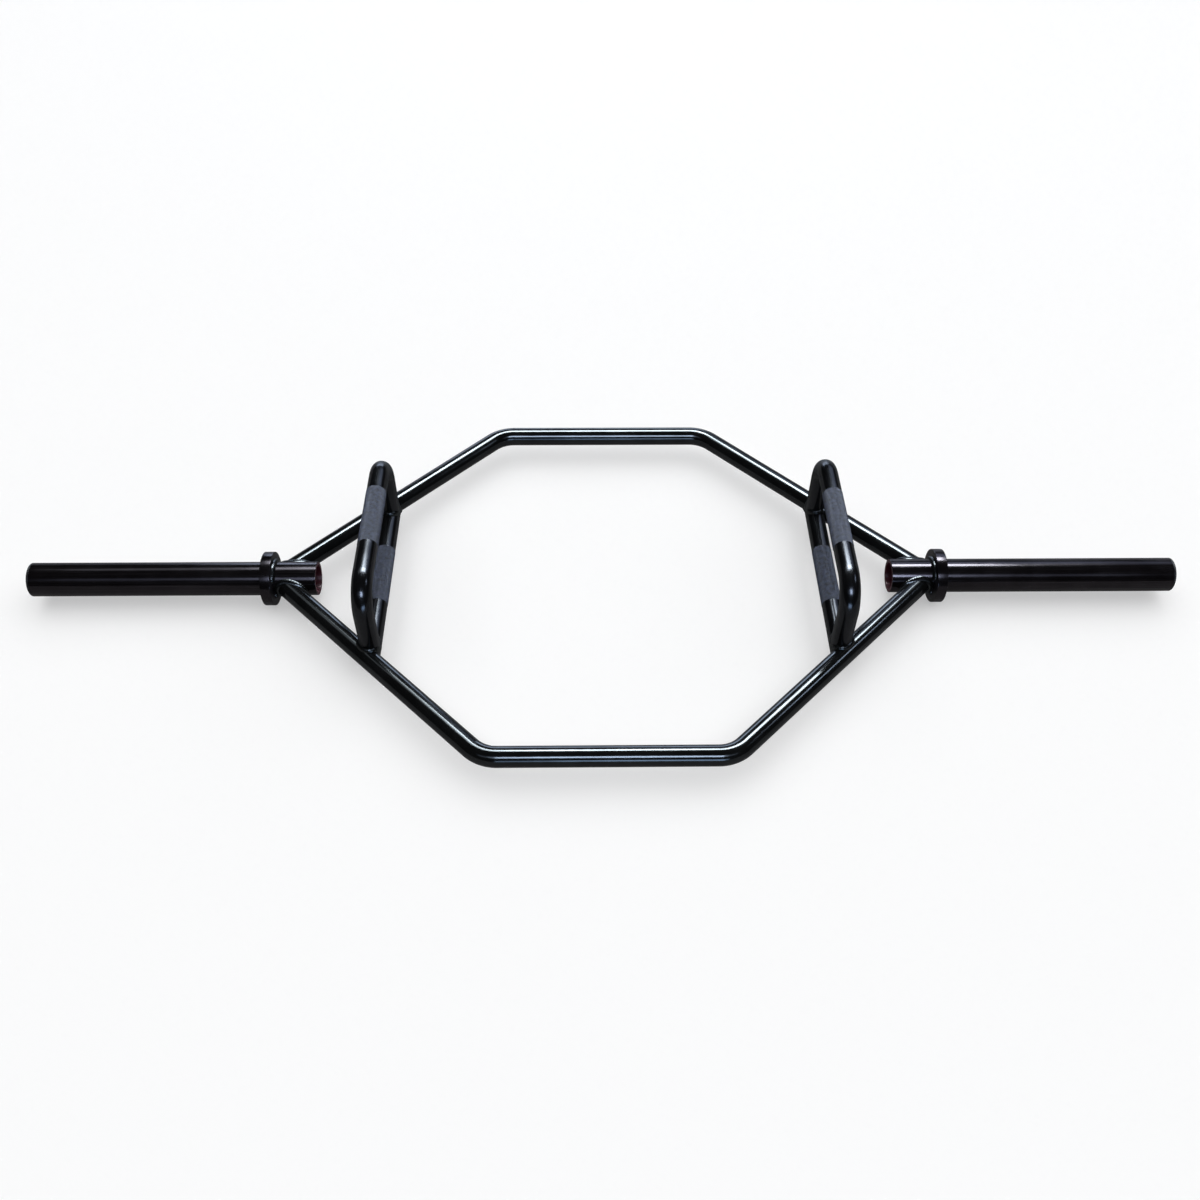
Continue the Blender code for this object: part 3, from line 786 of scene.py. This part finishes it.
def bead_mesh(name, seam, closed, branch_tube, main_tubes):
    """The plain bead along a seam, and the seam's length."""
    welds = settings("welds")
    gap = settings("tubes").seat_gap
    bm = bmesh.new()
    turn_layer, across_layer, crown_layer = (
        bm.verts.layers.float.new(layer) for layer in ("turn", "across", "crown")
    )
    count = len(seam)
    rings = []
    steps = [(seam[(i + 1) % count][0] - seam[i][0]).length for i in range(count if closed else count - 1)]
    for i, (root, branch_normal, main_normal) in enumerate(seam):
        after = seam[(i + 1) % count][0] if closed or i + 1 < count else root
        before = seam[i - 1][0] if closed or i else root
        to_stop = min(sum(steps[:i]), sum(steps[i:]))
        left_over = 0.0 if closed else max(0.0, 1 - to_stop / welds.stop_length)
        size = max(welds.stop_size, math.sqrt(1 - left_over**2))
        along = (after - before).normalized()
        if along.cross(branch_normal).dot(branch_tube[0][1]) < 0:
            along = -along
        up_branch = along.cross(branch_normal).normalized()
        over_main = -along.cross(main_normal).normalized()
        branch_toe = onto_tubes(root + up_branch * welds.leg * size, [branch_tube], gap)
        main_toe = root + over_main * welds.leg * size
        if main_tubes:
            main_toe = onto_tubes(main_toe, main_tubes, gap)
        outward = (branch_normal + main_normal).normalized()
        ring = []
        for step in range(welds.crown_steps + 1):
            share = step / welds.crown_steps
            rise = welds.crown * 4 * share * (1 - share) * size
            vert = bm.verts.new(branch_toe.lerp(main_toe, share) + outward * rise)
            vert[turn_layer] = i / count
            vert[across_layer] = 2 * share - 1
            vert[crown_layer] = size
            ring.append(vert)
        root_vert = bm.verts.new(root)
        root_vert[across_layer] = 1.0
        ring.append(root_vert)
        rings.append(ring)
    for first, second in zip(rings, rings[1:] + rings[:1] if closed else rings[1:]):
        for i in range(len(first)):
            j = (i + 1) % len(first)
            bm.faces.new((first[i], first[j], second[j], second[i]))
    if not closed:
        bm.faces.new(rings[0])
        bm.faces.new(rings[-1])
    bmesh.ops.recalc_face_normals(bm, faces=bm.faces)
    return mesh_from(bm, name), sum(steps)


def weld_bead(node, seam, closed, branch_tube, main_tubes, coarseness=1.0):
    """A rippled, crowned fillet along (root, branch normal, main normal) stations.

    A tube is ((axis point, axis direction), radius), and the branch's direction leads away from the
    joint. A flat main surface has no tubes."""
    name = "rippled_" + node
    welds = settings("welds")
    mesh, seam_length = bead_mesh(name, seam, closed, branch_tube, main_tubes)
    values = {
        "Seam Length": seam_length,
        "Ripple Pitch": welds.ripple_pitch,
        "Ripple Height": welds.ripple_height * coarseness,
        "Ripple Bow": welds.ripple_bow,
        "Unevenness": welds.unevenness * coarseness,
        "Lump Density": welds.lump_density,
        "Seed": welds.seed,
        "Paint": material_named("bead_paint"),
    }
    bead = grown(name, mesh, group_named("Weld ripples", weld_ripple_tree), values, welds.crease)
    finish_piece(bead, [node])


def seam_between(meeting, branch, main, main_radius, angles):
    """Seam of a tube that leaves the meeting point along branch, on a tube along main, both level."""
    gap = settings("tubes").seat_gap
    side = branch.cross(UP).normalized()
    main_side = UP.cross(main).normalized()
    if main_side.dot(branch) < 0:
        main_side = -main_side
    branch_radius = TUBE_RADIUS + gap
    seat_radius = max(main_radius + gap, branch_radius + settings("welds").seam_rounding)
    seam = []
    for angle in angles:
        across = branch_radius * math.cos(angle)
        height = branch_radius * math.sin(angle)
        reach = math.sqrt(seat_radius**2 - height**2)
        along = (reach - across * side.dot(main_side)) / branch.dot(main_side)
        root = meeting + branch * along + side * across + UP * height
        branch_normal = side * math.cos(angle) + UP * math.sin(angle)
        seam.append((root, branch_normal, (main_side * reach + UP * height).normalized()))
    return seam


def leg_seam(foot, seats, angles):
    """Seam of an upright leg on the low handle and the side tube, whichever stands higher."""
    leg_radius = TUBE_RADIUS + settings("tubes").seat_gap
    seat_radius = leg_radius + settings("welds").seam_rounding
    seam = []
    for angle in angles:
        outward = Vector((math.cos(angle), math.sin(angle), 0))
        point = foot + outward * leg_radius
        nearest = min((across_axis(point, *axis) for axis, _ in seats), key=lambda offset: offset.length)
        height = math.sqrt(max(0.0, seat_radius**2 - nearest.length_squared))
        seam.append((point + UP * height, outward, (nearest + UP * height).normalized()))
    return seam


def collar_seam(x_side, angles):
    """Seam round the sleeve on the inner face of its collar."""
    gap = settings("tubes").seat_gap
    on_axis = Vector((x_side * (COLLAR_BOX[0].x - gap), 0, AXIS_HEIGHT))
    seam = []
    for angle in angles:
        outward = Vector((0, math.cos(angle), math.sin(angle)))
        seam.append((on_axis + outward * (SLEEVE_RADIUS + gap), outward, Vector((-x_side, 0, 0))))
    return seam


def full_turn():
    count = settings("welds").stations
    return [math.tau * i / count for i in range(count)]


def part_turn(start, end):
    welds = settings("welds")
    count = max(welds.fewest_stations, round(welds.stations * abs(end - start) / math.tau))
    return [start + (end - start) * i / (count - 1) for i in range(count)]


def sleeve_tube(x_side):
    """The sleeve as a branch that leaves its collar towards the middle of the bar."""
    return (Vector((0, 0, AXIS_HEIGHT)), Vector((-x_side, 0, 0))), SLEEVE_RADIUS


class BAR_OT_sleeves(bpy.types.Operator):
    """Turns both sleeves, with their open inner ends"""

    bl_idname = "bar.sleeves"
    bl_label = "Sleeves"

    def execute(self, context):
        tubes = context.scene.bar_tubes
        bore = SLEEVE_RADIUS - tubes.sleeve_wall
        start, end = SLEEVE_BOX[0].x, SLEEVE_BOX[1].x
        profile = rounded_profile([
            (start, bore, tubes.edge_radius),
            (start, SLEEVE_RADIUS, tubes.edge_radius),
            (end, SLEEVE_RADIUS, tubes.edge_radius / 2),
            (end, bore, 0),
        ])
        turn_both("painted", "sleeve", profile, "sleeve_paint", "satin_sleeve_paint", "bore_primer")
        return {"FINISHED"}


class BAR_OT_collars(bpy.types.Operator):
    """Turns the rings that stop the discs"""

    bl_idname = "bar.collars"
    bl_label = "Collars"

    def execute(self, context):
        tubes = context.scene.bar_tubes
        bore = SLEEVE_RADIUS + tubes.seat_gap
        rim = width(COLLAR_BOX, 2) / 2
        start, end = COLLAR_BOX[0].x, COLLAR_BOX[1].x
        profile = rounded_profile([
            (start, bore, 0),
            (start, rim, tubes.edge_radius),
            (end, rim, tubes.edge_radius),
            (end, bore, tubes.edge_radius / 2),
        ])
        turn_both("painted", "collar", profile, "collar_paint", "satin_collar_paint")
        return {"FINISHED"}


class BAR_OT_end_caps(bpy.types.Operator):
    """Makes the push-in caps at the outer ends"""

    bl_idname = "bar.end_caps"
    bl_label = "End caps"

    def execute(self, context):
        tubes = context.scene.bar_tubes
        plug = SLEEVE_RADIUS - tubes.sleeve_wall - tubes.seat_gap
        plug_bore = plug - tubes.cap_flange * 0.8
        crown = tubes.cap_flange * 0.12
        flat, flat_rounding = SLEEVE_RADIUS * 0.45, SLEEVE_RADIUS * 0.2
        end = CAP_BOX[1].x
        flange = end - tubes.cap_flange
        plug_end = flange - tubes.cap_plug
        profile = rounded_profile([
            (end, 0, 0),
            (end, flat, flat_rounding),
            (end - crown, SLEEVE_RADIUS, tubes.edge_radius),
            (flange, SLEEVE_RADIUS, tubes.edge_radius / 4),
            (flange, plug, 0),
            (plug_end, plug, tubes.edge_radius),
            (plug_end, plug_bore, 0),
            (flange, plug_bore, 0),
            (flange, 0, 0),
        ])
        turn_both("moulded", "end_cap", profile, "cap_plastic", "moulded_cap_plastic")
        return {"FINISHED"}


class BAR_OT_side_tubes(bpy.types.Operator):
    """Bends the two side tubes and copes them to the sleeves"""

    bl_idname = "bar.side_tubes"
    bl_label = "Side tubes"

    def execute(self, context):
        bend = context.scene.bar_tubes.frame_bend
        seats = [f"painted_{side_name}_sleeve" for side_name, _ in SIDES]
        for end_name, y_side in ENDS:
            rail = [rail_corner(-1, y_side), rail_corner(1, y_side)]
            corners = [meeting_point(-1), *rail, meeting_point(1)]
            swept_tube(f"{end_name}_side_tube", corners, bend, seats, "gloss_black_paint")
        return {"FINISHED"}


class BAR_OT_low_handles(bpy.types.Operator):
    """Copes the low handles between the side tubes"""

    bl_idname = "bar.low_handles"
    bl_label = "Low handles"

    def execute(self, context):
        seats = [f"painted_{end_name}_side_tube" for end_name, _ in ENDS]
        for side_name, x_side in SIDES:
            corners = [handle_end(x_side, y_side) for _, y_side in ENDS]
            swept_tube(f"{side_name}_low_handle", corners, 0.0, seats, "gloss_handle_paint")
        return {"FINISHED"}


class BAR_OT_raised_handles(bpy.types.Operator):
    """Bends the raised handles and copes their legs to the tubes below"""

    bl_idname = "bar.raised_handles"
    bl_label = "Raised handles"

    def execute(self, context):
        bend = context.scene.bar_tubes.handle_bend
        rise = UP * (GRIP_HEIGHT - AXIS_HEIGHT)
        side_tubes = [f"painted_{end_name}_side_tube" for end_name, _ in ENDS]
        for side_name, x_side in SIDES:
            front, rear = (leg_foot(x_side, y_side) for _, y_side in ENDS)
            corners = [front, front + rise, rear + rise, rear]
            seats = [*side_tubes, f"painted_{side_name}_low_handle"]
            node = f"{side_name}_raised_handle"
            swept_tube(node, corners, bend, seats, "gloss_handle_paint")
        return {"FINISHED"}


class BAR_OT_knurled_grips(bpy.types.Operator):
    """Presses a band of diamonds into the middle of each handle"""

    bl_idname = "bar.knurled_grips"
    bl_label = "Knurled grips"

    def execute(self, context):
        grips = context.scene.bar_grips
        tree = group_named("Knurl", knurl_tree)
        for side_name, x_side in SIDES:
            for level, height in (("low", AXIS_HEIGHT), ("raised", GRIP_HEIGHT)):
                shift = getattr(grips, f"{side_name}_{level}_shift")
                values = {
                    "Middle": (x_side * HANDLE_X, shift, height),
                    "Tube Radius": TUBE_RADIUS,
                    "Length": grips.length,
                    "Diamond Width": grips.diamond_width,
                    "Diamond Angle": grips.diamond_angle,
                    "Height": grips.height,
                    "Flat Share": grips.flat_share,
                    "Wear": grips.wear,
                    "Seed": grips.seed,
                    "Paint": material_named("matte_knurl_paint"),
                }
                name = f"{side_name}_{level}_knurl"
                finish_piece(grown(name, bpy.data.meshes.new(name), tree, values), [])
        return {"FINISHED"}


class BAR_OT_frame_welds(bpy.types.Operator):
    """Lays the beads where the side tubes meet sleeves and handles"""

    bl_idname = "bar.frame_welds"
    bl_label = "Frame welds"

    def execute(self, context):
        flank = (context.scene.bar_welds.leg + 2 * context.scene.bar_tubes.seat_gap) / TUBE_RADIUS
        underside = part_turn(math.pi + flank, math.tau - flank)
        along_sleeve = Vector((1, 0, 0))
        for side_name, x_side in SIDES:
            for end_name, y_side in ENDS:
                prefix = f"{end_name}_{side_name}_"
                direction = run_direction(x_side, y_side)
                meeting = meeting_point(x_side)
                side_tube = ((meeting, direction), TUBE_RADIUS)
                low_end = handle_end(x_side, y_side)
                inwards = Vector((0, -y_side, 0))
                low_tube = ((low_end, inwards), TUBE_RADIUS)
                foot = leg_foot(x_side, y_side)

                seam = seam_between(meeting, direction, along_sleeve, SLEEVE_RADIUS, full_turn())
                weld_bead(prefix + "sleeve_weld", seam, True, side_tube, [sleeve_tube(x_side)])

                seam = seam_between(low_end, inwards, direction, TUBE_RADIUS, underside)
                weld_bead(prefix + "low_handle_weld", seam, False, low_tube, [side_tube])

                seats = [low_tube, side_tube]
                seam = leg_seam(foot, seats, full_turn())
                weld_bead(prefix + "leg_weld", seam, True, ((foot, UP), TUBE_RADIUS), seats)
        return {"FINISHED"}


class BAR_OT_collar_welds(bpy.types.Operator):
    """Lays two beads on the inner face of each collar"""

    bl_idname = "bar.collar_welds"
    bl_label = "Collar welds"

    def execute(self, context):
        welds = context.scene.bar_welds
        for side_name, x_side in SIDES:
            for arc_name, middle_angle in (("upper", math.pi / 2), ("lower", -math.pi / 2)):
                node = f"{side_name}_collar_{arc_name}_weld"
                half_width = width(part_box(node), 1) / 2
                reach = math.asin(min(1.0, half_width / (SLEEVE_RADIUS + welds.leg))) + welds.collar_overrun
                seam = collar_seam(x_side, part_turn(middle_angle - reach, middle_angle + reach))
                weld_bead(node, seam, False, sleeve_tube(x_side), [], welds.collar_coarseness)
        return {"FINISHED"}


def facing(location, target):
    """Places something at the location with its -Z axis towards the target."""
    turn = (Vector(target) - Vector(location)).to_track_quat("-Z", "Y")
    return Matrix.Translation(location) @ turn.to_matrix().to_4x4()


def softbox(name, place, target_x, size, radiance, colour):
    """A rectangular lamp that faces a point on the sleeves' axis and shows in gloss alone."""
    light = bpy.data.lights.new(name, "AREA")
    light.shape = "RECTANGLE"
    light.size, light.size_y = size
    light.energy = radiance * math.pi * size[0] * size[1]
    light.color = colour
    lamp = link_to_scene(name, light)
    lamp.matrix_world = facing(place, (target_x, 0, AXIS_HEIGHT))
    lamp.visible_diffuse = False


def floor_material(colour, white_share):
    """Pale floor that keeps the bar's shadow, made paler by a share of plain white."""
    material, tree, surface = blank_material("studio_floor")
    cloud = noise(tree, object_coordinates(tree), 3.0, 2.0)
    shade = mix_colour(tree, cloud, lighter(colour, 0.99), tuple(colour))
    wire_up(tree, surface, {"Base Color": shade, "Roughness": 0.9, "Specular IOR Level": 0.1})
    rays = place_node(tree, "ShaderNodeLightPath").outputs
    seen = computed(tree, "MAXIMUM", rays["Is Camera Ray"], rays["Is Glossy Ray"])
    seen = computed(tree, "MAXIMUM", seen, rays["Is Transmission Ray"])
    share = computed(tree, "MULTIPLY", seen, white_share)
    white = place_node(tree, "ShaderNodeEmission", {"Strength": 1.0}).outputs["Emission"]
    both = place_node(tree, "ShaderNodeMixShader", {0: share, 1: surface.outputs["BSDF"], 2: white})
    wire_up(tree, tree.nodes["Material Output"], {"Surface": both.outputs[0]})
    return material


COOL_WHITE, PALE_BLUE = (0.88, 0.955, 1.0), (0.67, 0.79, 1.0)
DUSK_BLUE, DEEP_BLUE = (0.63, 0.74, 1.0), (0.5, 0.7, 1.0)
OVERHEAD_PLACE = (0.4, 0.6, 3.0)
LAMP_HEIGHT = 4.0
LAYER_STEP = 0.02  # Layers of one lamp stand this far apart and fade its ends
SOFTBOX_Y, SOFTBOX_SLANT, SOFTBOX_TURN = 2.46, -0.04, 0.3
WINDOW_Y = -4.0
# Left end, right end, depth and share of the brightness of each layer
LONG_SOFTBOX = (
    (-0.55, 0.75, 1.3, 0.25),
    (-0.5, 2.05, 1.15, 0.5),
    (-1.0, 2.1, 1.3, 0.25),
    (-1.6, 2.3, 1.35, 0.14),
    (-3.2, 3.2, 1.3, 0.03),
)
FRONT_WINDOW = ((-0.7, 1.4, 1.3, 1.0), (-1.9, 2.2, 1.3, 0.12), (-4.0, 4.0, 1.3, 0.04))
# Name, place, X of the point that it faces, size, share of the back light and colour
OTHER_LAMPS = (
    ("back_window_0", (2.5, 4.85, LAMP_HEIGHT), 0.0, (2.2, 2.6), 0.32, DUSK_BLUE),
    ("back_window_1", (2.5, 4.87, LAMP_HEIGHT), 0.0, (4.6, 2.6), 0.32, DUSK_BLUE),
    ("back_wall", (-0.6, 8.0, 1.6), -0.6, (4.5, 2.2), 2.2, PALE_BLUE),
    ("side_window", (4.7, 0.2, LAMP_HEIGHT), 0.0, (1.2, 0.5), 4.0, PALE_BLUE),
    ("low_front_0", (0.2, -1.6, 0.2), 0.2, (0.6, 0.3), 1.35, DEEP_BLUE),
    ("low_front_1", (0.2, -1.62, 0.2), 0.2, (1.0, 0.3), 1.35, DEEP_BLUE),
)


class BAR_OT_studio(bpy.types.Operator):
    """Sets up the floor, the lamps and the camera"""

    bl_idname = "bar.studio"
    bl_label = "Studio"

    def execute(self, context):
        studio = context.scene.bar_studio
        self.make_floor(studio)
        self.make_room_light(studio)
        self.make_softboxes(studio)
        self.make_camera(studio)
        context.scene.view_settings.view_transform = "Standard"
        return {"FINISHED"}

    def make_floor(self, studio):
        half = studio.floor_reach
        mesh = bpy.data.meshes.new("studio_floor")
        corners = [(-half, -half, 0), (half, -half, 0), (half, half, 0), (-half, half, 0)]
        mesh.from_pydata(corners, [], [(0, 1, 2, 3)])
        mesh.materials.append(floor_material(studio.floor_colour, studio.floor_white))
        link_to_scene("studio_floor", mesh)

    def make_room_light(self, studio):
        world = bpy.data.worlds.new("room")
        world.use_nodes = True
        world.node_tree.nodes["Background"].inputs["Color"].default_value = (*studio.room_colour, 1)
        bpy.context.scene.world = world
        sun = bpy.data.lights.new("overhead_light", "SUN")
        sun.energy = studio.sun_strength
        sun.angle = studio.sun_spread
        lamp = link_to_scene("overhead_light", sun)
        lamp.matrix_world = facing(OVERHEAD_PLACE, (0, 0, 0))
        lamp.visible_glossy = False

    def make_softboxes(self, studio):
        for layer, (left, right, depth, share) in enumerate(LONG_SOFTBOX):
            x = (left + right) / 2
            place = (x, SOFTBOX_Y + SOFTBOX_SLANT * x, LAMP_HEIGHT + LAYER_STEP * layer)
            size, radiance = (right - left, depth), studio.strip_radiance * share
            softbox(f"long_softbox_{layer}", place, x + SOFTBOX_TURN, size, radiance, COOL_WHITE)
        for layer, (left, right, depth, share) in enumerate(FRONT_WINDOW):
            x = (left + right) / 2
            place = (x, WINDOW_Y, LAMP_HEIGHT + LAYER_STEP * layer)
            size, radiance = (right - left, depth), studio.window_radiance * share
            softbox(f"front_window_{layer}", place, x, size, radiance, PALE_BLUE)
        for name, place, target_x, size, share, colour in OTHER_LAMPS:
            softbox(name, place, target_x, size, studio.back_radiance * share, colour)

    def make_camera(self, studio):
        elevation, yaw, roll = studio.camera_elevation, studio.camera_yaw, studio.camera_roll
        forward = Vector((
            math.sin(yaw) * math.cos(elevation),
            math.cos(yaw) * math.cos(elevation),
            -math.sin(elevation),
        ))
        level_right = Vector((math.cos(yaw), -math.sin(yaw), 0))
        level_up = level_right.cross(forward)
        right = level_right * math.cos(roll) + level_up * math.sin(roll)
        up = level_up * math.cos(roll) - level_right * math.sin(roll)
        place = Vector((*studio.aim, AXIS_HEIGHT)) - forward * studio.camera_distance
        lens = bpy.data.cameras.new("photo_camera")
        lens.sensor_fit = "HORIZONTAL"
        lens.lens = studio.focal_pixels / studio.photo_pixels * lens.sensor_width
        camera = link_to_scene("photo_camera", lens)
        axes = Matrix((right, up, -forward)).transposed().to_4x4()
        camera.matrix_world = Matrix.Translation(place) @ axes
        bpy.context.scene.camera = camera


STEPS = (
    BAR_OT_sleeves,
    BAR_OT_collars,
    BAR_OT_end_caps,
    BAR_OT_side_tubes,
    BAR_OT_low_handles,
    BAR_OT_raised_handles,
    BAR_OT_knurled_grips,
    BAR_OT_frame_welds,
    BAR_OT_collar_welds,
    BAR_OT_studio,
)


class BAR_PT_panel(bpy.types.Panel):
    """Sidebar panel with the bar's settings and one button for each group of pieces"""

    bl_idname = "BAR_PT_panel"
    bl_label = "Lifting bar"
    bl_space_type = "VIEW_3D"
    bl_region_type = "UI"
    bl_category = "Lifting bar"

    def draw(self, context):
        layout = self.layout
        for step in STEPS:
            layout.operator(step.bl_idname)
        for name, group in SETTINGS.items():
            box = layout.box()
            box.label(text=group.__doc__.split(".")[0])
            for field in group.__annotations__:
                box.prop(getattr(context.scene, name), field)


def register():
    for group in SETTINGS.values():
        bpy.utils.register_class(group)
    for name, group in SETTINGS.items():
        setattr(bpy.types.Scene, name, PointerProperty(type=group))
    for step in STEPS:
        bpy.utils.register_class(step)
    bpy.utils.register_class(BAR_PT_panel)


def unregister():
    bpy.utils.unregister_class(BAR_PT_panel)
    for step in reversed(STEPS):
        bpy.utils.unregister_class(step)
    for name in SETTINGS:
        delattr(bpy.types.Scene, name)
    for group in SETTINGS.values():
        bpy.utils.unregister_class(group)


def main():
    register()
    bpy.ops.bar.sleeves()
    bpy.ops.bar.collars()
    bpy.ops.bar.end_caps()
    bpy.ops.bar.side_tubes()
    bpy.ops.bar.low_handles()
    bpy.ops.bar.raised_handles()
    bpy.ops.bar.knurled_grips()
    bpy.ops.bar.frame_welds()
    bpy.ops.bar.collar_welds()
    bpy.ops.bar.studio()
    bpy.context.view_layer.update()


if __name__ == "__main__":
    main()
